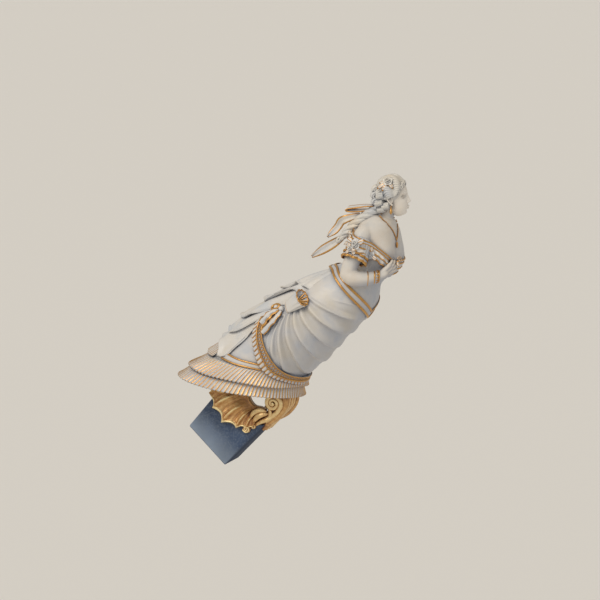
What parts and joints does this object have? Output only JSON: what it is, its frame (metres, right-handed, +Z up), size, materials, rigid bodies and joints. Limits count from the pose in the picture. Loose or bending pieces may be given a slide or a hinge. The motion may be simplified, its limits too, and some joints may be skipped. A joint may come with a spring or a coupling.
{
  "type": "ship figurehead",
  "caption": "Carved and painted ship's figurehead of a woman in a draped gown, leaning forward over a gilded leaf scroll on a square-ended stem block.",
  "frame": {"origin": "centre of the stem block's flat end face, where the figurehead is bolted to the ship", "axes": "+X forward, the way the figure faces; +Y to her left; +Z up, with the figure leaning forward as mounted"},
  "size_m": [1.4395, 0.6057, 1.7783],
  "materials": {
    "white_paint": "carved softwood under aged off-white oil paint, edges and trimmings gilded",
    "gold_leaf": "carved softwood under gold leaf with a brown glaze in the hollows",
    "blue_black_paint": "satin blue-black oil paint"
  },
  "bodies": {
    "root": {"figure": "white_paint", "scroll_bracket": "gold_leaf", "stem_block": "blue_black_paint"}
  },
  "joints": []
}
